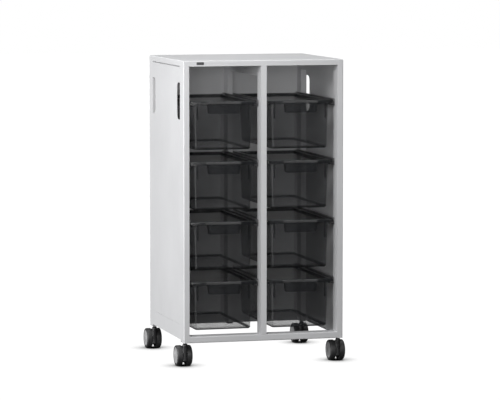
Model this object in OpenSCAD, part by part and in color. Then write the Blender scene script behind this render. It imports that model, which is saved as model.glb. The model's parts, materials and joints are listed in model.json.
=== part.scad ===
// Mobile tray cabinet: an open-front sheet-steel body on four twin-wheel castors,
// with two columns of sliding trays. Millimetres, +Z up, the front faces -Y.
// The origin is on the floor, at the centre of the whole cabinet's outline.

/* [Body] */
// Width of the body
body_w = 680; // [660:5:700]
// Depth of the body
body_d = 612; // [590:2:640]
// Height of the body above the castors
body_h = 1160; // [1150:2:1180]
// Thickness of the sheet steel
sheet = 1.2; // [1:0.1:1.5]
// Outer radius of the sheet folds
fold_r = 4; // [3:0.5:5]

/* [Frame] */
// Width of a corner post, along the front
post_w = 24; // [23:0.5:26]
// Depth of every post, front to back
post_d = 62; // [60:1:66]
// Width of the centre posts
centre_w = 23; // [22:0.5:26]
// Height of the folded edge of the top
cap_h = 23; // [20:1:26]
// Height of the bottom front rail
front_rail_h = 27; // [25:1:30]
// Height of the top rails, below the folded edge of the top
top_rail_h = 44; // [40:1:50]
// Lower edge of the bottom side rails
side_rail_z0 = 9; // [8:1:12]
// Upper edge of the bottom side rails
side_rail_z1 = 70; // [65:1:75]

/* [Hand slots] */
// Height of a hand slot
slot_h = 152; // [140:2:160]
// Reach of a hand slot from its post
slot_d = 50; // [46:1:54]
// Middle of the hand slots above the bottom of the body
slot_mid_z = 993; // [985:1:998]
// Radius of the slot's rounded corners
slot_r = 25; // [20:1:30]

/* [Trays] */
// Trays in one column
rows = 4; // [4:1:4]
// Distance from one tray to the next
tray_pitch = 248; // [245:0.5:250]
// Height of one tray, base to rim
tray_h = 199; // [190:1:205]
// Base of the lowest tray above the bottom of the body
tray_z0 = 48; // [44:1:54]
// Width of a tray at its base
tray_base_w = 238; // [230:1:242]
// Width of a tray's body just under the rim
tray_top_w = 250; // [246:1:252]
// Width over the rim
rim_w = 290; // [286:1:292]
// Depth over the rim
rim_d = 556; // [530:1:560]
// Rim's front edge behind the body's front face
rim_y0 = 32; // [30:1:36]
// Wall thickness of a tray
tray_t = 2.2; // [2:0.1:3]
// Width of the tray's handle
handle_w = 143; // [130:1:150]
// Height of the handle's front plate
handle_h = 50; // [46:1:54]

/* [Castors] */
// Diameter of a castor wheel
wheel_d = 85; // [82:1:88]
// Height of a castor, floor to body
castor_h = 100; // [99:1:102]
// Distance from the swivel axis back to the axle
castor_trail = 35; // [33:1:36]
// Width of one wheel
wheel_w = 23.5; // [22:0.5:24]
// Distance from the castor's middle to a wheel's inner face
wheel_gap = 8.5; // [8.5:0.5:9]
// Diameter of the axle
axle_d = 8; // [7:0.5:9]
// Diameter of the stem
stem_d = 11; // [10:0.5:12]

/* [Hidden] */
COLUMNS = ["left", "right"];
CORNERS = ["front_left", "front_right", "rear_left", "rear_right"];

badge_t = 0.8;
badge_w = 31;
badge_h = 11;
badge_x = 55;
stem_inset_x = post_w / 2;
stem_inset_y = post_d / 2;
rear_overhang = castor_trail + wheel_d / 2 - stem_inset_y;
front_y = (badge_t - body_d - rear_overhang) / 2;

post_top = body_h - cap_h;
centre_x0 = (body_w - centre_w) / 2;
left_bay = [post_w, centre_x0];
right_bay = [centre_x0 + centre_w, body_w - post_w];
rear_post_y = body_d - post_d;
top_rail_z = post_top - top_rail_h;
slit = 4;
seam = 0.5;
side_top_rail_w = 12;
bottom_foot = 14;
back_foot = 15;
post_slant = 10;
badge_r = 2;

// Runner section, measured from the wall and from the tray's rim
runner_y0 = 46;
runner_y1 = body_d - 8;
runner_web = 2.5;
runner_up = 4;
runner_down = 24;
ledge_w = 16;
ledge_t = 2.6;
guide_w = 9;
guide_t = 2;
lip_h = 15;
lip_gap = 0.4;
screw_drop = 4;
screw_y = [54, body_d - 22];
screw_r = 2.8;
screw_hole_r = 3;
screw_head_r = 4.5;
screw_head_t = 2;
screw_tail = 5;

// Tray
rim_t = 2.5;
rim_r = 10;
foot_h = 3;
foot_inset = 4;
foot_w = 6;
tray_r = 14;
front_draft = 4;
front_wall_y = 40;
base_d = 498;
top_back = 18;
handle_y0 = 18;
handle_t = 2.5;
handle_top_t = 11;
handle_taper = 6;
side_web_t = 2.5;
tab_w = 8;
tab_gap = 1;
tab_h = 18;
tab_t = 3;
tab_y = 14;
rib_h = 72;
rib_w = 5;
rib_d = 5;
rib_y = 1;
web_grip = 1.5;
rib_x = 109;
slab = 0.02;
small_fn = 32;

// Castor
wheel_r = wheel_d / 2;
web_half = 7.5;
web_r = 39.5;
web_gap = 0.2;
arch_z = 17;
neck_r = 11;
neck_z0 = 24;
neck_z1 = 87;
dome_top = 97.5;
dome_gap = 0.5;
wheel_clear = 1.5;
bore_fit = 0.05;
socket_h = 40;
socket_d = 50;
socket_gap = 0.2;
collar_r = 9;
shoulder_r = 6;
inner_shoulder_r = 3;
cap_recess = 3;
cap_r = 33.5;
cap_fit = 0.3;
cap_step = 3;
cap_edge = 0.8;
stem_z0 = 54;

function rim_z(r) = tray_z0 + tray_h + (rows - r) * tray_pitch;
function bay_mid(c) = c == "left" ? (left_bay[0] + left_bay[1]) / 2 : (right_bay[0] + right_bay[1]) / 2;
function bay_walls(c) = c == "left" ? left_bay : right_bay;
hole_zs = [for (j = [-1:2 * rows - 1]) tray_z0 + tray_h - screw_drop + j * tray_pitch / 2];

body_grey = [0.84, 0.85, 0.86];
inner_grey = [0.74, 0.75, 0.76];
tray_smoke = [0.22, 0.23, 0.24];
runner_grey = [0.33, 0.34, 0.35];
castor_black = [0.09, 0.09, 0.1];
cap_grey = [0.66, 0.67, 0.68];
steel = [0.72, 0.73, 0.74];

// Puts a shape from the body's corner (left, front, bottom) into the cabinet's frame
module in_body() translate([-body_w / 2, front_y, castor_h]) children();

// Same shape on the right-hand side of the body
module mirrored_x() translate([body_w, 0, 0]) mirror([1, 0, 0]) children();

module rounded_rect(w, d, r) {
    translate([r, 0]) square([w - 2 * r, d]);
    translate([0, r]) square([w, d - 2 * r]);
    for (x = [r, w - r], y = [r, d - r]) translate([x, y]) circle(r = r, $fn = 48);
}

// Rectangle whose two corners at the top are rounded
module arch_rect(w, h, r) {
    square([w, h - r]);
    translate([r, 0]) square([w - 2 * r, h]);
    for (x = [r, w - r]) translate([x, h - r]) circle(r = r, $fn = 48);
}

// Solid block with rounded upper edges and rounded vertical corners
module soft_block(w, d, h, r) {
    intersection() {
        linear_extrude(h) rounded_rect(w, d, r);
        translate([0, d, 0]) rotate([90, 0, 0]) linear_extrude(d) arch_rect(w, h, r);
        rotate([90, 0, 90]) linear_extrude(w) arch_rect(d, h, r);
    }
}

// Folded lid that closes the top and gives the front its upper rail
module top_panel() {
    color(body_grey) in_body() translate([0, 0, post_top]) difference() {
        soft_block(body_w, body_d, cap_h, fold_r);
        translate([sheet, sheet, -1])
            soft_block(body_w - 2 * sheet, body_d - 2 * sheet, cap_h - sheet + 1, fold_r - sheet);
    }
}

// Hand slot: straight along the post, rounded on the panel side
module slot_notch() {
    reach = slot_d - slot_r;
    translate([-1, 0]) square([reach + 1, slot_h]);
    translate([0, slot_r]) square([slot_d, slot_h - 2 * slot_r]);
    for (z = [slot_r, slot_h - slot_r]) translate([reach, z]) circle(r = slot_r, $fn = 64);
}

module side_panel() {
    panel_d = rear_post_y - post_d;
    z0 = side_rail_z1 + seam;
    z1 = post_top - slit;
    notch_z = slot_mid_z - slot_h / 2;
    translate([0, post_d, 0]) rotate([90, 0, 90]) linear_extrude(sheet) difference() {
        translate([0, z0]) square([panel_d, z1 - z0]);
        translate([0, notch_z]) slot_notch();
        translate([panel_d, notch_z]) mirror([1, 0]) slot_notch();
    }
}

module left_side_panel() { color(body_grey) in_body() side_panel(); }
module right_side_panel() { color(body_grey) in_body() mirrored_x() side_panel(); }

module back_panel() {
    inner_w = body_w - 2 * post_w;
    color(inner_grey) in_body() translate([post_w, body_d - sheet, 0]) {
        cube([inner_w, sheet, post_top]);
        translate([0, sheet - back_foot, 0]) cube([inner_w, back_foot, sheet]);
    }
}

// Outline of a tube of rounded section; round_left and round_right say which corners are folds
module tube_section(w, d) {
    difference() {
        rounded_rect(w, d, fold_r);
        translate([sheet, sheet]) rounded_rect(w - 2 * sheet, d - 2 * sheet, fold_r - sheet);
    }
}

// Corner tube: only the corner on the outside of the cabinet is rounded
module corner_section(w, d) {
    difference() {
        union() {
            translate([fold_r, 0]) square([w - fold_r, d]);
            translate([0, fold_r]) square([w, d - fold_r]);
            translate([fold_r, fold_r]) circle(r = fold_r, $fn = 48);
        }
        translate([sheet, sheet]) rounded_rect(w - 2 * sheet, d - 2 * sheet, fold_r - sheet);
    }
}

// Screw holes in the inner face of a post, whose wall stands at x
module post_holes(x, y) {
    for (z = hole_zs) translate([x, y, z]) rotate([0, 90, 0])
        cylinder(r = screw_hole_r, h = 2 * sheet + 1, center = true, $fn = 32);
}

// Left-hand corner post, with its lower end cut at a slant next to the side rail
module corner_post(hole_y) {
    difference() {
        linear_extrude(post_top) corner_section(post_w, post_d);
        post_holes(post_w, hole_y);
        translate([-1, post_d, 0]) rotate([90, 0, 90]) linear_extrude(2 * sheet)
            polygon([[-2 * post_slant, -1], [-2 * post_slant, 0], [-post_slant / 2, side_rail_z0],
                [1, side_rail_z0], [1, -1]]);
    }
}

module rear_post() translate([0, body_d, 0]) mirror([0, 1, 0]) corner_post(body_d - screw_y[1]);

module front_left_post() { color(body_grey) in_body() corner_post(screw_y[0]); }
module front_right_post() { color(body_grey) in_body() mirrored_x() corner_post(screw_y[0]); }
module rear_left_post() { color(body_grey) in_body() rear_post(); }
module rear_right_post() { color(body_grey) in_body() mirrored_x() rear_post(); }

module centre_post(y0, d, z0, hole_y) {
    translate([centre_x0, 0, 0]) difference() {
        translate([0, y0, z0]) linear_extrude(post_top - z0) difference() {
            square([centre_w, d]);
            translate([sheet, sheet]) square([centre_w - 2 * sheet, d - 2 * sheet]);
        }
        for (x = [0, centre_w]) post_holes(x, hole_y);
    }
}

module front_centre_post() {
    color(body_grey) in_body() centre_post(0, post_d, front_rail_h, screw_y[0]);
}

module rear_centre_post() {
    color(inner_grey) in_body() centre_post(rear_post_y, post_d - sheet, sheet, screw_y[1]);
}

module bottom_front_rail() {
    color(body_grey) in_body() translate([post_w, 0, 0]) rotate([90, 0, 90])
        linear_extrude(body_w - 2 * post_w) tube_section(post_d, front_rail_h);
}

// Folded angle below the side panel
module bottom_rail() {
    translate([0, post_d, 0]) {
        translate([0, 0, side_rail_z0]) cube([sheet, rear_post_y - post_d, side_rail_z1 - side_rail_z0]);
        translate([0, 0, side_rail_z0]) cube([bottom_foot, rear_post_y - post_d, sheet]);
    }
}

module left_bottom_rail() { color(body_grey) in_body() bottom_rail(); }
module right_bottom_rail() { color(body_grey) in_body() mirrored_x() bottom_rail(); }

// Channel under the top, open upwards, between a front and a rear post
module top_rail(w) {
    translate([0, rear_post_y, top_rail_z]) rotate([90, 0, 0]) linear_extrude(rear_post_y - post_d)
        difference() {
            square([w, top_rail_h]);
            translate([sheet, sheet]) square([w - 2 * sheet, top_rail_h]);
        }
}

// The side rails stand inside the side panel, so that its slit looks into a hollow
module left_top_rail() {
    color(inner_grey) in_body() translate([post_w - side_top_rail_w, 0, 0]) top_rail(side_top_rail_w);
}
module right_top_rail() {
    color(inner_grey) in_body() mirrored_x()
        translate([post_w - side_top_rail_w, 0, 0]) top_rail(side_top_rail_w);
}
module centre_top_rail() { color(inner_grey) in_body() translate([centre_x0, 0, 0]) top_rail(centre_w); }

module blank_badge() {
    color(castor_black) in_body() translate([badge_x, 0, body_h - (cap_h + badge_h) / 2])
        rotate([90, 0, 0]) linear_extrude(badge_t) rounded_rect(badge_w, badge_h, badge_r);
}

// Channel that carries one edge of a tray, for a wall at x = 0 and a rim at z = 0
module runner() {
    low = -lip_h - lip_gap;
    difference() {
        union() {
            translate([0, runner_y1, 0]) rotate([90, 0, 0]) linear_extrude(runner_y1 - runner_y0)
                polygon([[0, -runner_down], [runner_web, -runner_down], [runner_web, low - ledge_t],
                    [ledge_w, low - ledge_t], [ledge_w, low], [runner_web, low],
                    [runner_web, runner_up - guide_t], [guide_w, runner_up - guide_t],
                    [guide_w, runner_up], [0, runner_up]]);
            translate([0, runner_y1 - ledge_t, low]) cube([ledge_w, ledge_t, -low]);
        }
        for (y = screw_y) translate([runner_web / 2, y, -screw_drop]) rotate([0, 90, 0])
            cylinder(r = screw_hole_r, h = runner_web + 1, center = true, $fn = 32);
    }
}

module runner_pair(c, r) {
    walls = bay_walls(c);
    color(runner_grey) in_body() translate([0, 0, rim_z(r)]) {
        translate([walls[0], 0, 0]) runner();
        translate([walls[1], 0, 0]) mirror([1, 0, 0]) runner();
    }
}

module screw() {
    rotate([0, 90, 0]) {
        cylinder(r = screw_head_r, h = screw_head_t, $fn = 32);
        translate([0, 0, -runner_web - screw_tail])
            cylinder(r = screw_r, h = runner_web + screw_tail, $fn = 32);
    }
}

module runner_screws() {
    color(steel) in_body() for (c = COLUMNS, r = [1:rows], y = screw_y) {
        walls = bay_walls(c);
        translate([walls[0] + runner_web, y, rim_z(r) - screw_drop]) screw();
        translate([walls[1] - runner_web, y, rim_z(r) - screw_drop]) mirror([1, 0, 0]) screw();
    }
}

// Tapered block with rounded corners, from its base outline to its top outline
module frustum(w0, y0, d0, z0, w1, y1, d1, z1, r) {
    hull() {
        for (x = [r - w0 / 2, w0 / 2 - r], y = [y0 + r, y0 + d0 - r]) translate([x, y, z0])
            cylinder(r = r, h = slab, $fn = small_fn);
        for (x = [r - w1 / 2, w1 / 2 - r], y = [y1 + r, y1 + d1 - r]) translate([x, y, z1 - slab])
            cylinder(r = r, h = slab, $fn = small_fn);
    }
}

module ring(w, y0, d, r, t) {
    difference() {
        translate([-w / 2, y0]) rounded_rect(w, d, r);
        translate([t - w / 2, y0 + t]) rounded_rect(w - 2 * t, d - 2 * t, r - t);
    }
}

// One tray: x = 0 at its middle, y = 0 at the body's front face, z = 0 under its base
module tray() {
    top_y = front_wall_y - front_draft;
    top_d = base_d + front_draft + top_back;
    difference() {
        union() {
            frustum(tray_base_w, front_wall_y, base_d, foot_h,
                tray_top_w, top_y, top_d, tray_h, tray_r);
            translate([0, 0, tray_h - rim_t]) linear_extrude(rim_t)
                translate([-rim_w / 2, rim_y0]) rounded_rect(rim_w, rim_d, rim_r);
        }
        frustum(tray_base_w - 2 * tray_t, front_wall_y + tray_t, base_d - 2 * tray_t, foot_h + tray_t,
            tray_top_w - 2 * tray_t, top_y + tray_t, top_d - 2 * tray_t, tray_h + 2 * slab,
            tray_r - tray_t);
    }
    translate([0, 0, tray_h - lip_h]) linear_extrude(lip_h) ring(rim_w, rim_y0, rim_d, rim_r, tray_t);
    linear_extrude(foot_h)
        ring(tray_base_w - 2 * foot_inset, front_wall_y + foot_inset, base_d - 2 * foot_inset,
            tray_r - foot_inset, foot_w);
    tray_handle();
    tab_x = (tray_top_w + tab_w) / 2 + tab_gap;
    for (s = [-1, 1]) {
        translate([s * tab_x - tab_w / 2, rim_y0 + tab_y, tray_h - rim_t - tab_h])
            cube([tab_w, tab_t, tab_h]);
        translate([s * rib_x - rib_w / 2, rim_y0 + rib_y, tray_h - rim_t - rib_h])
            cube([rib_w, rib_d, rib_h]);
    }
}

// Front handle: a top strip that joins the rim, a plate that hangs in front of the wall,
// and a side web at each end that closes the gap behind the plate
module tray_handle() {
    web_d = front_wall_y - front_draft - handle_y0 + web_grip;
    translate([-handle_w / 2, handle_y0, tray_h - handle_top_t])
        cube([handle_w, rim_y0 - handle_y0 + rib_y, handle_top_t]);
    handle_plate(handle_y0, handle_t, 0);
    difference() {
        handle_plate(handle_y0, web_d, 0);
        handle_plate(handle_y0 - 1, web_d + 2, side_web_t);
    }
}

// Plate that narrows downwards, with its edges set in by inset
module handle_plate(y0, t, inset) {
    half = handle_w / 2 - inset;
    translate([0, y0 + t, tray_h]) rotate([90, 0, 0]) linear_extrude(t)
        polygon([[-half, 0], [half, 0], [half - handle_taper, -handle_h],
            [handle_taper - half, -handle_h]]);
}

module placed_tray(c, r) {
    color(tray_smoke) in_body() translate([bay_mid(c), 0, rim_z(r) - tray_h]) tray();
}

// Places a castor's shape, whose swivel axis is at x = y = 0 and whose floor is z = 0
module at_castor(k) {
    right = k == "front_right" || k == "rear_right";
    rear = k == "rear_left" || k == "rear_right";
    x = right ? body_w / 2 - stem_inset_x : stem_inset_x - body_w / 2;
    y = rear ? front_y + body_d - stem_inset_y : front_y + stem_inset_y;
    translate([x, y, 0]) children();
}

module castor_socket() {
    translate([0, 0, castor_h]) difference() {
        translate([sheet + socket_gap - post_w / 2, -socket_d / 2, 0])
            cube([post_w - 2 * (sheet + socket_gap), socket_d, socket_h]);
        translate([0, 0, -1]) cylinder(d = stem_d, h = socket_h + 2, $fn = 48);
    }
}

module castor_sockets() { color(castor_black) for (k = CORNERS) at_castor(k) castor_socket(); }

module castor_stem() {
    translate([0, 0, stem_z0]) cylinder(d = stem_d, h = castor_h + socket_h - stem_z0, $fn = 48);
    translate([0, 0, dome_top + dome_gap])
        cylinder(r = collar_r, h = castor_h - dome_top - dome_gap, $fn = 48);
}

module castor_stems() { color(steel) for (k = CORNERS) at_castor(k) castor_stem(); }

// Lays a shape turned about Z onto the axle, with its z along +X
module on_axle() translate([0, castor_trail, wheel_r]) rotate([0, 90, 0]) children();

module castor_housing() {
    difference() {
        union() {
            difference() {
                on_axle() cylinder(r = web_r, h = 2 * web_half, center = true, $fn = 96);
                translate([-wheel_w, castor_trail - wheel_r, -1]) cube([2 * wheel_w, wheel_d, arch_z + 1]);
            }
            translate([0, 0, neck_z0]) cylinder(r = neck_r, h = neck_z1 - neck_z0, $fn = 64);
            intersection() {
                translate([0, 0, neck_z1]) sphere(r = neck_r, $fn = 64);
                translate([0, 0, neck_z1]) cylinder(r = neck_r, h = dome_top - neck_z1, $fn = 64);
            }
        }
        for (s = [0, 1]) mirror([s, 0, 0]) translate([web_half + web_gap, 0, 0]) on_axle()
            cylinder(r = wheel_r + wheel_clear, h = wheel_w, $fn = 96);
        translate([0, 0, stem_z0 - 1]) cylinder(r = stem_d / 2 + bore_fit, h = castor_h, $fn = 48);
        on_axle() cylinder(d = axle_d, h = wheel_d, center = true, $fn = 48);
    }
}

module castor_axle() {
    length = 2 * (wheel_gap + wheel_w - cap_recess - dome_gap);
    on_axle() cylinder(d = axle_d, h = length, center = true, $fn = 48);
}

// Wheel section: radius across, width up
module wheel_section() {
    bore = axle_d / 2 + bore_fit;
    seat_r = cap_r + cap_fit;
    difference() {
        union() {
            translate([bore, 0]) square([wheel_r - shoulder_r - bore, wheel_w]);
            translate([wheel_r - shoulder_r, inner_shoulder_r])
                square([shoulder_r, wheel_w - shoulder_r - inner_shoulder_r]);
            translate([wheel_r - shoulder_r, 0]) square([shoulder_r - inner_shoulder_r, shoulder_r]);
            translate([wheel_r - shoulder_r, wheel_w - shoulder_r]) circle(r = shoulder_r, $fn = 48);
            translate([wheel_r - inner_shoulder_r, inner_shoulder_r])
                circle(r = inner_shoulder_r, $fn = 48);
        }
        translate([0, wheel_w - cap_recess]) square([seat_r, cap_recess + 1]);
    }
}

module castor_wheel() {
    translate([wheel_gap, 0, 0]) on_axle() rotate_extrude($fn = 96) wheel_section();
}

module castor_cap() {
    translate([wheel_gap + wheel_w - cap_recess, 0, 0]) on_axle() {
        cylinder(r = cap_r, h = cap_recess - cap_edge, $fn = 96);
        cylinder(r = cap_r - cap_step, h = cap_recess, $fn = 96);
    }
}

module castor_piece(k, p) {
    at_castor(k) {
        if (p == "housing") color(castor_black) castor_housing();
        if (p == "axle") color(steel) castor_axle();
        if (p == "left_wheel") color(castor_black) mirror([1, 0, 0]) castor_wheel();
        if (p == "right_wheel") color(castor_black) castor_wheel();
        if (p == "left_cap") color(cap_grey) mirror([1, 0, 0]) castor_cap();
        if (p == "right_cap") color(cap_grey) castor_cap();
    }
}

top_panel();
left_side_panel();
right_side_panel();
back_panel();
front_left_post();
front_right_post();
rear_left_post();
rear_right_post();
front_centre_post();
rear_centre_post();
bottom_front_rail();
left_bottom_rail();
right_bottom_rail();
left_top_rail();
right_top_rail();
centre_top_rail();
blank_badge();
runner_screws();
castor_sockets();
castor_stems();
for (c = COLUMNS, r = [1:rows]) runner_pair(c, r);
for (c = COLUMNS, r = [1:rows]) placed_tray(c, r);
for (k = CORNERS, p = ["housing", "axle", "left_wheel", "right_wheel", "left_cap", "right_cap"])
    castor_piece(k, p);
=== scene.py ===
import json
import math

import bmesh
import bpy
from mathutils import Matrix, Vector


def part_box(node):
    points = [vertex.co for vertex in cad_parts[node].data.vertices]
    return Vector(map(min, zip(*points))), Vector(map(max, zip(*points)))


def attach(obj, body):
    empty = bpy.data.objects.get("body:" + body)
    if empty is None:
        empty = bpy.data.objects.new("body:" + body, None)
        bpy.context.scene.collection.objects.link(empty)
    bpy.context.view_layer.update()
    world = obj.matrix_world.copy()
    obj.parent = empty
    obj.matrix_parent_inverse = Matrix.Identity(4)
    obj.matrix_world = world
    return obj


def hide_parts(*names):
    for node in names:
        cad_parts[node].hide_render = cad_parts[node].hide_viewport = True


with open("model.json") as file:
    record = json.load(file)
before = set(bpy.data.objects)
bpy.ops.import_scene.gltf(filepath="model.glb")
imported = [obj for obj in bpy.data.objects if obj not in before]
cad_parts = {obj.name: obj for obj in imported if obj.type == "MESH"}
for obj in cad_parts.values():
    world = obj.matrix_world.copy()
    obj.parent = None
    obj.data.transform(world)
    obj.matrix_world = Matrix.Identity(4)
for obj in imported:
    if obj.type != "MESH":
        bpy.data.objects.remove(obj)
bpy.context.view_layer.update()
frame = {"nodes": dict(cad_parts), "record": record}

# Mobile tray cabinet: powder-coated steel body, smoky clear trays on runners, twin-wheel castors.
# Everything is in metres, in the CAD model's own frame: +Z up, the open front faces -Y.

MM = 0.001
NODES = frame["nodes"]
COLUMNS = ("left", "right")
ROWS = (1, 2, 3, 4)
CORNERS = ("front_left", "front_right", "rear_left", "rear_right")


# ---------------------------------------------------------------- materials


class Shader:
    """A material's node tree, with short calls for the nodes that this scene uses."""

    def __init__(self, name):
        self.material = bpy.data.materials.new(name)
        self.material.use_nodes = True
        self.tree = self.material.node_tree
        self.principled = self.tree.nodes["Principled BSDF"]
        self.coords = self.add("ShaderNodeTexCoord").outputs["Object"]

    def add(self, kind):
        return self.tree.nodes.new(kind)

    def link(self, source, target):
        self.tree.links.new(source, target)

    def value(self, **sockets):
        """Sets constants on the shader's own sockets, with _ for a space in their names."""
        for name, number in sockets.items():
            self.principled.inputs[name.replace("_", " ")].default_value = number

    def noise(self, scale, detail=2.0, stretch=(1, 1, 1), roughness=0.5):
        mapping = self.add("ShaderNodeMapping")
        mapping.inputs["Scale"].default_value = stretch
        texture = self.add("ShaderNodeTexNoise")
        texture.inputs["Scale"].default_value = scale
        texture.inputs["Detail"].default_value = detail
        texture.inputs["Roughness"].default_value = roughness
        self.link(self.coords, mapping.inputs["Vector"])
        self.link(mapping.outputs["Vector"], texture.inputs["Vector"])
        return texture.outputs["Fac"]

    def span(self, source, low, high, start=0.0, end=1.0):
        """Maps start..end of a value to low..high."""
        node = self.add("ShaderNodeMapRange")
        node.inputs["From Min"].default_value = start
        node.inputs["From Max"].default_value = end
        node.inputs["To Min"].default_value = low
        node.inputs["To Max"].default_value = high
        self.link(source, node.inputs["Value"])
        return node.outputs["Result"]

    def mix(self, factor, low, high):
        """A colour between low and high, each a colour or a socket."""
        node = self.add("ShaderNodeMix")
        node.data_type = "RGBA"
        for slot, colour in ((6, low), (7, high)):
            if hasattr(colour, "links"):
                self.link(colour, node.inputs[slot])
            else:
                node.inputs[slot].default_value = (*colour, 1.0)
        self.link(factor, node.inputs[0])
        return node.outputs[2]

    def bump(self, height, distance, strength=1.0):
        node = self.add("ShaderNodeBump")
        node.inputs["Distance"].default_value = distance
        node.inputs["Strength"].default_value = strength
        self.link(height, node.inputs["Height"])
        return node.outputs["Normal"]

    def maths(self, operation, a, b):
        node = self.add("ShaderNodeMath")
        node.operation = operation
        for slot, value in ((0, a), (1, b)):
            if hasattr(value, "links"):
                self.link(value, node.inputs[slot])
            else:
                node.inputs[slot].default_value = value
        return node.outputs[0]

    def drive(self, name, source):
        self.link(source, self.principled.inputs[name])


def powder_coat(name, colour):
    """Satin powder coat: orange peel, faint cloudiness, fine handling marks."""
    s = Shader(name)
    cloud = s.noise(3.0, 3.0)
    fleck = s.noise(1400.0, 1.0)
    marks = s.noise(22.0, 6.0, stretch=(1, 1, 0.25), roughness=0.7)
    dark = tuple(c * 0.93 for c in colour)
    tone = s.mix(s.span(cloud, 0.0, 1.0, 0.3, 0.7), dark, colour)
    scuff = s.span(marks, 0.0, 0.10, 0.60, 0.80)
    tone = s.mix(scuff, tone, tuple(c * 0.82 for c in colour))
    tone = s.mix(s.span(fleck, 0.0, 0.05, 0.35, 0.7), tone, tuple(min(1.0, c * 1.08) for c in colour))
    s.drive("Base Color", tone)
    s.drive("Roughness", s.maths("ADD", s.span(marks, 0.36, 0.5, 0.35, 0.75), s.span(fleck, -0.03, 0.03)))
    peel = s.noise(520.0, 2.0)
    s.drive("Normal", s.bump(peel, 0.00005, 0.35))
    s.value(Specular_IOR_Level=0.42)
    return s.material


def smoked_plastic(name, body, slanted, tint=(0.020, 0.021, 0.023)):
    """Smoky clear moulding, with faint flow lines and fine scratches.

    Each surface takes body of the light when looked through squarely, and slanted at a slant."""
    s = Shader(name)
    flow = s.noise(9.0, 3.0, stretch=(1, 1, 0.4))
    scratch = s.noise(60.0, 5.0, stretch=(1, 0.05, 1), roughness=0.65)
    facing = s.add("ShaderNodeLayerWeight")
    facing.inputs["Blend"].default_value = 0.5
    depth = s.span(facing.outputs["Facing"], body, slanted, 0.05, 0.75)
    s.drive("Alpha", s.maths("ADD", depth, s.span(flow, -0.02, 0.02)))
    s.drive("Base Color", s.mix(s.span(flow, 0.0, 1.0, 0.3, 0.7), tint, tuple(c * 1.5 for c in tint)))
    s.drive("Roughness", s.span(scratch, 0.06, 0.22, 0.35, 0.75))
    s.drive("Normal", s.bump(flow, 0.0004, 0.25))
    s.value(IOR=1.49)
    return s.material


def moulded(name, colour, rough):
    """Moulded opaque plastic with a fine grain and rubbed patches."""
    s = Shader(name)
    patches = s.noise(35.0, 4.0)
    light = tuple(min(1.0, c * 1.35 + 0.006) for c in colour)
    s.drive("Base Color", s.mix(s.span(patches, 0.0, 1.0, 0.4, 0.75), colour, light))
    s.drive("Roughness", s.span(patches, rough - 0.08, rough + 0.1, 0.3, 0.7))
    s.drive("Normal", s.bump(s.noise(900.0, 2.0), 0.00006, 0.5))
    return s.material


def plated_steel(name, colour):
    """Zinc-plated steel, with turned or drawn lines."""
    s = Shader(name)
    lines = s.noise(300.0, 3.0, stretch=(0.05, 1, 1))
    stain = s.noise(40.0, 4.0)
    s.drive("Base Color", s.mix(s.span(stain, 0.0, 1.0, 0.4, 0.75), colour, tuple(c * 0.78 for c in colour)))
    s.drive("Roughness", s.span(lines, 0.22, 0.42, 0.3, 0.7))
    s.drive("Normal", s.bump(lines, 0.00003, 0.5))
    s.value(Metallic=1.0)
    return s.material


BODY_COLOUR = (0.665, 0.668, 0.68)
MATERIALS = {
    "body_coat": powder_coat("body_coat", BODY_COLOUR),
    "tray_plastic": smoked_plastic("tray_plastic", 0.185, 0.31, (0.024, 0.025, 0.027)),
    # Denser, darker skin for the rim, flange, base fillet, apron, tabs and ribs: partly their thicker
    # plastic, partly painted shade for the dark look of clear plastic edges.
    "tray_edge": smoked_plastic("tray_edge", 0.42, 0.56),
    # Lighter, denser skin: a painted highlight on the handle strip and along the rim's top edge.
    "tray_painted_highlight": smoked_plastic("tray_painted_highlight", 0.68, 0.78, (0.088, 0.089, 0.091)),
    # Lighter skin on the rounded front corners of the walls: a painted glint.
    "tray_painted_glint": smoked_plastic("tray_painted_glint", 0.50, 0.55, (0.115, 0.116, 0.118)),
    # Almost opaque, near-black skin for the foot, lower belly and handle webs: painted shade, with the foot
    # partly its thicker plastic.
    "tray_foot": smoked_plastic("tray_foot", 0.86, 0.92, (0.012, 0.012, 0.013)),
    "runner_plastic": moulded("runner_plastic", (0.12, 0.12, 0.124), 0.36),
    "castor_plastic": moulded("castor_plastic", (0.026, 0.026, 0.027), 0.28),
    "wheel_tread": moulded("wheel_tread", (0.036, 0.036, 0.037), 0.5),
    "hub_cap": moulded("hub_cap", (0.38, 0.38, 0.385), 0.38),
    "socket_plastic": moulded("socket_plastic", (0.03, 0.03, 0.032), 0.5),
    "steel": plated_steel("steel", (0.62, 0.63, 0.64)),
    "badge": moulded("badge", (0.05, 0.05, 0.053), 0.35),
}


# ---------------------------------------------------------------- meshes


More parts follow.
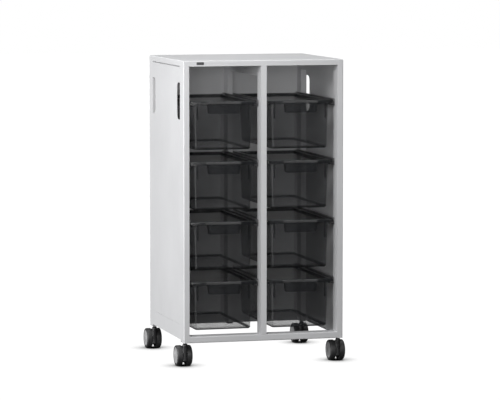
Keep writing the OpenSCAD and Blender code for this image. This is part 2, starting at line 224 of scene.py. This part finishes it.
class Builder:
    """Gathers closed shells into one mesh. A skin is the index of a face's material."""

    def __init__(self):
        self.verts = []
        self.faces = []
        self.skins = []

    def shell(self, rings, skins):
        """Skins rings of equal length from first to last and closes both ends."""
        count = len(rings[0])
        base = len(self.verts)
        for ring in rings:
            self.verts.extend(ring)
        for i in range(len(rings) - 1):
            for j in range(count):
                k = (j + 1) % count
                a = base + i * count
                self.faces.append((a + j, a + k, a + count + k, a + count + j))
                self.skins.append(skins[i])
        last = base + (len(rings) - 1) * count
        self.faces.append(tuple(base + j for j in reversed(range(count))))
        self.skins.append(skins[0])
        self.faces.append(tuple(last + j for j in range(count)))
        self.skins.append(skins[-1])

    def plate(self, outline, place, thickness, edge, skin):
        """A plate of an outline, given as (u, v) points, with small chamfers along its edges.

        place(u, v, w) turns it into a point, with w across the thickness."""
        cu = sum(u for u, _ in outline) / len(outline)
        cv = sum(v for _, v in outline) / len(outline)
        rings = []
        for w, shrink in ((0, edge), (edge, 0), (thickness - edge, 0), (thickness, edge)):
            ring = []
            for u, v in outline:
                reach = math.hypot(u - cu, v - cv)
                f = 1 - shrink / reach
                ring.append(place(cu + (u - cu) * f, cv + (v - cv) * f, w))
            rings.append(ring)
        self.shell(rings, [skin] * 3)

    def lathe(self, profile, centre, facing, skin=0, segments=96):
        """Turns (along, radius) points about the X axis through centre. facing is -1 or 1.

        A profile that starts and ends on the axis gives a disc, and any other one a closed ring."""
        cx, cy, cz = centre
        base = len(self.verts)
        solid = profile[0][1] == 0
        inner = profile[1:-1] if solid else profile
        for j in range(segments):
            angle = 2 * math.pi * j / segments
            c, s = math.cos(angle), math.sin(angle)
            self.verts.extend((cx + facing * u, cy + r * c, cz + r * s) for u, r in inner)
        n = len(inner)
        steps = n - 1 if solid else n
        for j in range(segments):
            k = (j + 1) % segments
            for i in range(steps):
                m = (i + 1) % n
                self.faces.append((base + j * n + i, base + j * n + m, base + k * n + m, base + k * n + i))
                self.skins.append(skin)
        if solid:
            for end, row in ((0, 0), (-1, n - 1)):
                tip = len(self.verts)
                self.verts.append((cx + facing * profile[end][0], cy, cz))
                for j in range(segments):
                    self.faces.append((tip, base + j * n + row, base + ((j + 1) % segments) * n + row))
                    self.skins.append(skin)

    def piece(self, name, materials, body, nodes, slot_name, smooth=35.0):
        mesh = bpy.data.meshes.new(name)
        mesh.from_pydata(self.verts, [], self.faces)
        mesh.polygons.foreach_set("material_index", self.skins)
        for material in materials:
            mesh.materials.append(material)
        shape = bmesh.new()
        shape.from_mesh(mesh)
        bmesh.ops.recalc_face_normals(shape, faces=shape.faces)
        shape.to_mesh(mesh)
        shape.free()
        obj = bpy.data.objects.new(name, mesh)
        bpy.context.collection.objects.link(obj)
        shade(obj, smooth)
        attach(obj, body)
        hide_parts(*nodes)


def shade(obj, angle):
    """Smooth shading, with edges sharper than angle degrees kept sharp."""
    mesh = obj.data
    mesh.polygons.foreach_set("use_smooth", [True] * len(mesh.polygons))
    mesh.set_sharp_from_angle(angle=math.radians(angle))


def rounded_outline(half, front, back, radius, z, steps=7):
    """A rounded rectangle at height z, as points (x, y, z) about x = 0."""
    ring = []
    corners = ((half, back, 0), (-half, back, 90), (-half, front, 180), (half, front, 270))
    for x, y, start in corners:
        cx = x - math.copysign(radius, x)
        cy = y - radius if y == back else y + radius
        for i in range(steps + 1):
            angle = math.radians(start + 90 * i / steps)
            ring.append((cx + radius * math.cos(angle), cy + radius * math.sin(angle), z))
    return ring


# ---------------------------------------------------------------- trays

# Skins: clear walls; denser parts, darker for their thicker plastic and for painted shade; a lighter painted
# highlight; near-black painted shade, partly the foot's thicker plastic; a lighter painted glint.
CLEAR, THICK_AND_SHADED, PAINTED_HIGHLIGHT, THICK_AND_DEEP_SHADED, PAINTED_GLINT = 0, 1, 2, 3, 4


class Tray:
    """One moulded tray, in the place of its CAD node.

    x is measured from its middle, y from its handle and z from its base."""

    WALL = 2.2 * MM
    FOOT = 3 * MM
    BASE_HALF = 119 * MM
    TOP_HALF = 125 * MM
    BASE_FRONT = 22 * MM
    TOP_FRONT = 18 * MM
    BASE_BACK = 520 * MM
    TOP_BACK = 538 * MM
    RIM_FRONT = 14 * MM
    CORNER = 14 * MM
    RIM_CORNER = 10 * MM
    LIP = 15 * MM
    FLANGE = 2.5 * MM
    HANDLE_HALF = 71.5 * MM
    HANDLE_DROP = 50 * MM
    HANDLE_TAPER = 6 * MM
    STRIP = 11 * MM
    STRIP_R = 2.4 * MM
    STRIP_BACK = 15 * MM
    TAB_X = 130 * MM
    TAB_H = 18 * MM
    RIB_X = 109 * MM
    RIB_H = 72 * MM
    FRONT_CORNER_FACES = (19, 20, 29, 30)

    def __init__(self, name):
        self.name = name
        low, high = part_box(name)
        self.origin = Vector(((low.x + high.x) / 2, low.y, low.z))
        self.height = high.z - low.z
        self.rim_half = (high.x - low.x) / 2
        self.rim_back = high.y - low.y
        self.shape = Builder()

    def wall_ring(self, z, inset):
        t = min(1.0, max(0.0, (z - self.FOOT) / (self.height - self.FOOT)))
        half = self.BASE_HALF + (self.TOP_HALF - self.BASE_HALF) * t - inset
        front = self.BASE_FRONT + (self.TOP_FRONT - self.BASE_FRONT) * t + inset
        back = self.BASE_BACK + (self.TOP_BACK - self.BASE_BACK) * t - inset
        return rounded_outline(half, front, back, max(self.CORNER - inset, 2 * MM), z)

    def rim_ring(self, z, inset):
        return rounded_outline(
            self.rim_half - inset, self.RIM_FRONT + inset, self.rim_back - inset, self.RIM_CORNER - inset, z
        )

    def body(self):
        """The walls, floor, flange, lip and foot, as rings from the inner floor to the outer one."""
        h = self.height
        floor = self.FOOT + self.WALL
        rings, skins = [], []

        def add(ring, skin):
            rings.append(ring)
            skins.append(skin)

        fillet = 6 * MM
        for i in range(5):
            a = math.radians(90 * i / 4)
            rise, inset = fillet * (1 - math.cos(a)), fillet * (1 - math.sin(a))
            add(self.wall_ring(floor + rise, self.WALL + inset), THICK_AND_SHADED if i < 4 else CLEAR)
        add(self.wall_ring(h - 2.6 * MM, self.WALL), THICK_AND_SHADED)
        add(self.wall_ring(h - 0.8 * MM, self.WALL - 0.6 * MM), THICK_AND_SHADED)
        add(self.wall_ring(h, self.WALL - 1.8 * MM), THICK_AND_SHADED)
        add(self.rim_ring(h, 1.5 * MM), THICK_AND_SHADED)
        # This narrow ring along the rim's top edge is a painted highlight line.
        add(self.rim_ring(h - 0.45 * MM, 0.45 * MM), PAINTED_HIGHLIGHT)
        add(self.rim_ring(h - 1.7 * MM, 0), THICK_AND_SHADED)
        add(self.rim_ring(h - self.LIP + 0.7 * MM, 0), THICK_AND_SHADED)
        add(self.rim_ring(h - self.LIP, 0.7 * MM), THICK_AND_SHADED)
        add(self.rim_ring(h - self.LIP, self.WALL - 0.7 * MM), THICK_AND_SHADED)
        add(self.rim_ring(h - self.LIP + 0.7 * MM, self.WALL), THICK_AND_SHADED)
        add(self.rim_ring(h - self.FLANGE - 0.8 * MM, self.WALL), THICK_AND_SHADED)
        add(self.rim_ring(h - self.FLANGE, self.WALL + 0.6 * MM), THICK_AND_SHADED)
        add(self.wall_ring(h - self.FLANGE, -0.6 * MM), THICK_AND_SHADED)
        wall = len(rings)
        add(self.wall_ring(h - self.FLANGE - 0.8 * MM, 0), CLEAR)
        # The lower belly and foot rings are near-black: painted shade, partly the foot's thicker plastic.
        belly = 3.5 * MM
        for i in range(5):
            a = math.radians(90 * i / 4)
            add(self.wall_ring(self.FOOT + belly * (1 - math.sin(a)), belly * (1 - math.cos(a))), THICK_AND_DEEP_SHADED)
        add(self.wall_ring(self.FOOT, 4 * MM), THICK_AND_DEEP_SHADED)
        add(self.wall_ring(0.5 * MM, 4.2 * MM), THICK_AND_DEEP_SHADED)
        add(self.wall_ring(0, 4.8 * MM), THICK_AND_DEEP_SHADED)
        add(self.wall_ring(0, 9.2 * MM), THICK_AND_DEEP_SHADED)
        add(self.wall_ring(0.5 * MM, 9.8 * MM), THICK_AND_DEEP_SHADED)
        add(self.wall_ring(self.FOOT, 10 * MM), CLEAR)
        self.shape.shell(rings, skins[:-1])
        self.shape.skins[-1] = CLEAR
        self.shape.skins[-2] = CLEAR
        # The rounded front corners of the wall get a painted glint.
        for j in self.FRONT_CORNER_FACES:
            self.shape.skins[wall * len(rings[0]) + j] = PAINTED_GLINT

    def handle(self):
        """A rounded strip along the top, an apron that hangs from it, and a web at each end."""
        h = self.height
        strip = []
        r = self.STRIP_R
        for z, start in ((h - r, 90), (h + r - self.STRIP, 180)):
            for i in range(5):
                a = math.radians(start + 90 * i / 4)
                strip.append((r + r * math.cos(a), z + r * math.sin(a)))
        strip += [(self.STRIP_BACK, h - self.STRIP), (self.STRIP_BACK, h)]
        half = self.HANDLE_HALF
        # The strip takes the lighter skin: a painted highlight.
        self.shape.plate(strip, lambda u, v, w: (w - half, u, v), 2 * half, 0.8 * MM, PAINTED_HIGHLIGHT)
        low = half - self.HANDLE_TAPER
        top, bottom = h - self.STRIP + 0.6 * MM, h - self.HANDLE_DROP
        apron = [(-half + 0.9 * MM, top), (half - 0.9 * MM, top)]
        for side in (1, -1):
            for i in range(4):
                a = math.radians(30 * i)
                swing = math.cos(a) if side > 0 else math.sin(a)
                drop = math.sin(a) if side > 0 else math.cos(a)
                apron.append((side * (low - 4 * MM + 4 * MM * swing), bottom + 4 * MM - 4 * MM * drop))
        self.shape.plate(apron, lambda u, v, w: (u, 0.3 * MM + w, v), 2.2 * MM, 0.5 * MM, THICK_AND_SHADED)
        for side in (-1, 1):
            back = self.TOP_FRONT + 1.3 * MM
            web = [(2.2 * MM, top), (2.2 * MM, bottom + 3 * MM), (back, bottom + 1 * MM), (back, top)]

            def lean(u, v, w, side=side):
                drop = (h - v) / self.HANDLE_DROP
                return (side * (half - 1.0 * MM - self.HANDLE_TAPER * drop - w), u, v)

            # Each end web is near-black: a painted shadow.
            self.shape.plate(web, lean, 2.3 * MM, 0.4 * MM, THICK_AND_DEEP_SHADED)

    def block(self, x, y, z, width, depth, tall, edge=0.7 * MM):
        left, right = x - width / 2, x + width / 2
        outline = [(left, y), (right, y), (right, y + depth), (left, y + depth)]
        self.shape.plate(outline, lambda u, v, w: (u, v, z + w), tall, edge, THICK_AND_SHADED)

    def details(self):
        """Stop tabs under the flange, and the stiffening ribs of the front wall."""
        under = self.height - self.FLANGE
        overlap = 0.4 * MM
        for side in (-1, 1):
            self.block(side * self.TAB_X, 28 * MM, under - self.TAB_H, 8 * MM, 3 * MM, self.TAB_H + overlap)
            self.block(side * self.RIB_X, 15 * MM, under - self.RIB_H, 5 * MM, 5 * MM, self.RIB_H + overlap)

    def build(self):
        self.body()
        self.handle()
        self.details()
        o = self.origin
        self.shape.verts = [(x + o.x, y + o.y, z + o.z) for x, y, z in self.shape.verts]
        skins = [MATERIALS["tray_" + skin] for skin in ("plastic", "edge", "painted_highlight", "foot", "painted_glint")]
        self.shape.piece("moulded_" + self.name, skins, self.name, [self.name], "tray_plastic")


# ---------------------------------------------------------------- castors


def arc(cu, cr, radius, start, end, steps=8):
    """Points (along, radius) of an arc about (cu, cr), in degrees, 0 along the axis and 90 outwards."""
    points = []
    for i in range(steps + 1):
        a = math.radians(start + (end - start) * i / steps)
        points.append((cu + radius * math.cos(a), cr + radius * math.sin(a)))
    return points


def make_wheel(corner, side):
    """A wheel with a rounded tread, a recessed hub and a light disc cap, in the place of the CAD ones."""
    wheel = f"{corner}_castor_{side}_wheel"
    cap = f"{corner}_castor_{side}_cap"
    low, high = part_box(wheel)
    facing = -1 if side == "left" else 1
    inner_x = high.x if side == "left" else low.x
    centre = (inner_x, (low.y + high.y) / 2, (low.z + high.z) / 2)
    width = high.x - low.x
    rolling = (high.z - low.z) / 2
    seat = 33.8 * MM
    inner_r, outer_r = 3 * MM, 6 * MM
    profile = [(1.0 * MM, 4.05 * MM), (0, 5 * MM), (0, 10 * MM), (2.5 * MM, 11.5 * MM), (3 * MM, 13 * MM)]
    profile += [(3 * MM, 29 * MM), (2.5 * MM, 31 * MM), (0.4 * MM, 32.5 * MM), (0, 33.5 * MM)]
    profile += arc(inner_r, rolling - inner_r, inner_r, 180, 90, 5)
    profile += arc(width - outer_r, rolling - outer_r, outer_r, 90, 0, 10)
    profile += [(width, seat + 1.2 * MM), (width - 0.3 * MM, seat + 0.4 * MM), (width - 1.0 * MM, seat)]
    profile += [(width - 3 * MM, seat), (width - 3 * MM, 4.05 * MM)]
    tyre = Builder()
    tyre.lathe(profile, centre, facing)
    tyre.piece(f"{corner}_{side}_tyre", [MATERIALS["wheel_tread"]], wheel, [wheel], "wheel_tread", 40)

    rim = 33.5 * MM
    face = [(width - 3 * MM, 0), (width - 3 * MM, rim), (width - 2.0 * MM, rim)]
    face += [(width - 1.1 * MM, rim - 0.5 * MM), (width - 0.5 * MM, rim - 1.6 * MM)]
    face += [(width - 0.3 * MM, rim - 3 * MM), (width - 0.7 * MM, rim - 4.4 * MM)]
    face += [(width - 1.1 * MM, rim - 5.2 * MM), (width - 1.0 * MM, 20 * MM)]
    face += [(width - 0.8 * MM, 9.5 * MM), (width - 0.3 * MM, 8.6 * MM)]
    face += [(width - 0.1 * MM, 7.4 * MM), (width - 0.1 * MM, 0)]
    disc = Builder()
    disc.lathe(face, centre, facing)
    disc.piece(f"{corner}_{side}_disc", [MATERIALS["hub_cap"]], wheel, [cap], "hub_cap", 40)


# ---------------------------------------------------------------- the object


def finish_node(name, slot_name):
    """Gives a CAD node that stays on show its material."""
    node = NODES[name]
    node.data.materials.clear()
    node.data.materials.append(MATERIALS[slot_name])
    shade(node, 30)


for part in frame["record"]["subparts"]:
    finish_node(part["node"], part["material_slot"])
for column in COLUMNS:
    for row in ROWS:
        Tray(f"{column}_tray_{row}").build()
for corner in CORNERS:
    for side in COLUMNS:
        make_wheel(corner, side)


# ---------------------------------------------------------------- stage, light and camera


def floor_material():
    """Glowing white sweep with a painted contact shadow: ambient occlusion dims the glow only where
    something stands on it.
    """
    s = Shader("studio_floor")
    painted_contact_shadow = s.add("ShaderNodeAmbientOcclusion")
    painted_contact_shadow.samples = 12
    painted_contact_shadow.inputs["Distance"].default_value = 0.09
    s.value(Base_Color=(0.0, 0.0, 0.0, 1.0), Roughness=1.0, Specular_IOR_Level=0.0)
    s.value(Emission_Color=(1.0, 1.0, 1.0, 1.0))
    # Ambient occlusion lowers the glow under the castors: a painted contact shadow.
    s.drive("Emission Strength", s.span(painted_contact_shadow.outputs["AO"], 0.0, 1.05, 0.30, 0.96))
    return s.material


def make_floor(size=60.0):
    mesh = bpy.data.meshes.new("studio_floor")
    half = size / 2
    corners = [(-half, -half, 0), (half, -half, 0), (half, half, 0), (-half, half, 0)]
    mesh.from_pydata(corners, [], [(0, 1, 2, 3)])
    floor = bpy.data.objects.new("studio_floor", mesh)
    bpy.context.collection.objects.link(floor)
    mesh.materials.append(floor_material())
    floor.visible_diffuse = False
    floor.visible_glossy = False
    floor.visible_shadow = False


def area_light(name, place, target, width, height, power, mirrored=True):
    lamp = bpy.data.lights.new(name, "AREA")
    lamp.shape = "RECTANGLE"
    lamp.size = width
    lamp.size_y = height
    lamp.energy = power
    obj = bpy.data.objects.new(name, lamp)
    obj.location = place
    obj.rotation_euler = (Vector(target) - Vector(place)).to_track_quat("-Z", "Y").to_euler()
    obj.visible_glossy = mirrored
    bpy.context.collection.objects.link(obj)


def make_lights():
    area_light("key", (-1.27, -1.94, 2.2), (0, -0.1, 0.75), 0.7, 0.7, 29.0)
    area_light("front_fill", (-1.0, -4.5, 1.45), (0, 0, 0.95), 3.0, 1.6, 68.0)
    area_light("left_fill", (-3.1, -3.5, 1.3), (0.2, 0, 0.7), 1.6, 1.8, 28.0)
    area_light("side_fill", (-5.3, 0.1, 1.2), (0, 0.1, 0.9), 3.0, 3.0, 265.0)
    area_light("top_fill", (0.0, 0.3, 4.5), (0, 0.3, 0), 3.0, 3.0, 122.0)
    area_light("back_fill", (3.4, 4.0, 1.4), (0, 0, 0.6), 2.5, 2.5, 150.0, mirrored=False)


def make_world():
    world = bpy.data.worlds.new("studio")
    world.use_nodes = True
    tree = world.node_tree
    backdrop = tree.nodes["Background"]
    backdrop.inputs["Color"].default_value = (1, 1, 1, 1)
    backdrop.inputs["Strength"].default_value = 1.0
    ambient = tree.nodes.new("ShaderNodeBackground")
    ambient.inputs["Color"].default_value = (0.98, 0.99, 1, 1)
    ambient.inputs["Strength"].default_value = 0.02
    path = tree.nodes.new("ShaderNodeLightPath")
    mix = tree.nodes.new("ShaderNodeMixShader")
    tree.links.new(path.outputs["Is Camera Ray"], mix.inputs[0])
    tree.links.new(ambient.outputs[0], mix.inputs[1])
    tree.links.new(backdrop.outputs[0], mix.inputs[2])
    tree.links.new(mix.outputs[0], tree.nodes["World Output"].inputs["Surface"])
    bpy.context.scene.world = world


def make_camera():
    """Long lens from the left of the front, a little above the top."""
    yaw = math.radians(15.01)
    pitch = math.radians(5.18)
    corner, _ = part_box("front_left_post")
    lens = bpy.data.cameras.new("camera")
    lens.lens = 215.6
    lens.sensor_width = 36.0
    lens.clip_end = 100.0
    camera = bpy.data.objects.new("camera", lens)
    camera.location = corner + Vector((-2.895, -11.843, 1.697))
    camera.rotation_euler = (math.pi / 2 - pitch, 0.0, -yaw)
    bpy.context.collection.objects.link(camera)
    bpy.context.scene.camera = camera


make_floor()
make_lights()
make_world()
make_camera()
scene = bpy.context.scene
scene.view_settings.view_transform = "Standard"
scene.cycles.transparent_max_bounces = 48
scene.cycles.max_bounces = 12
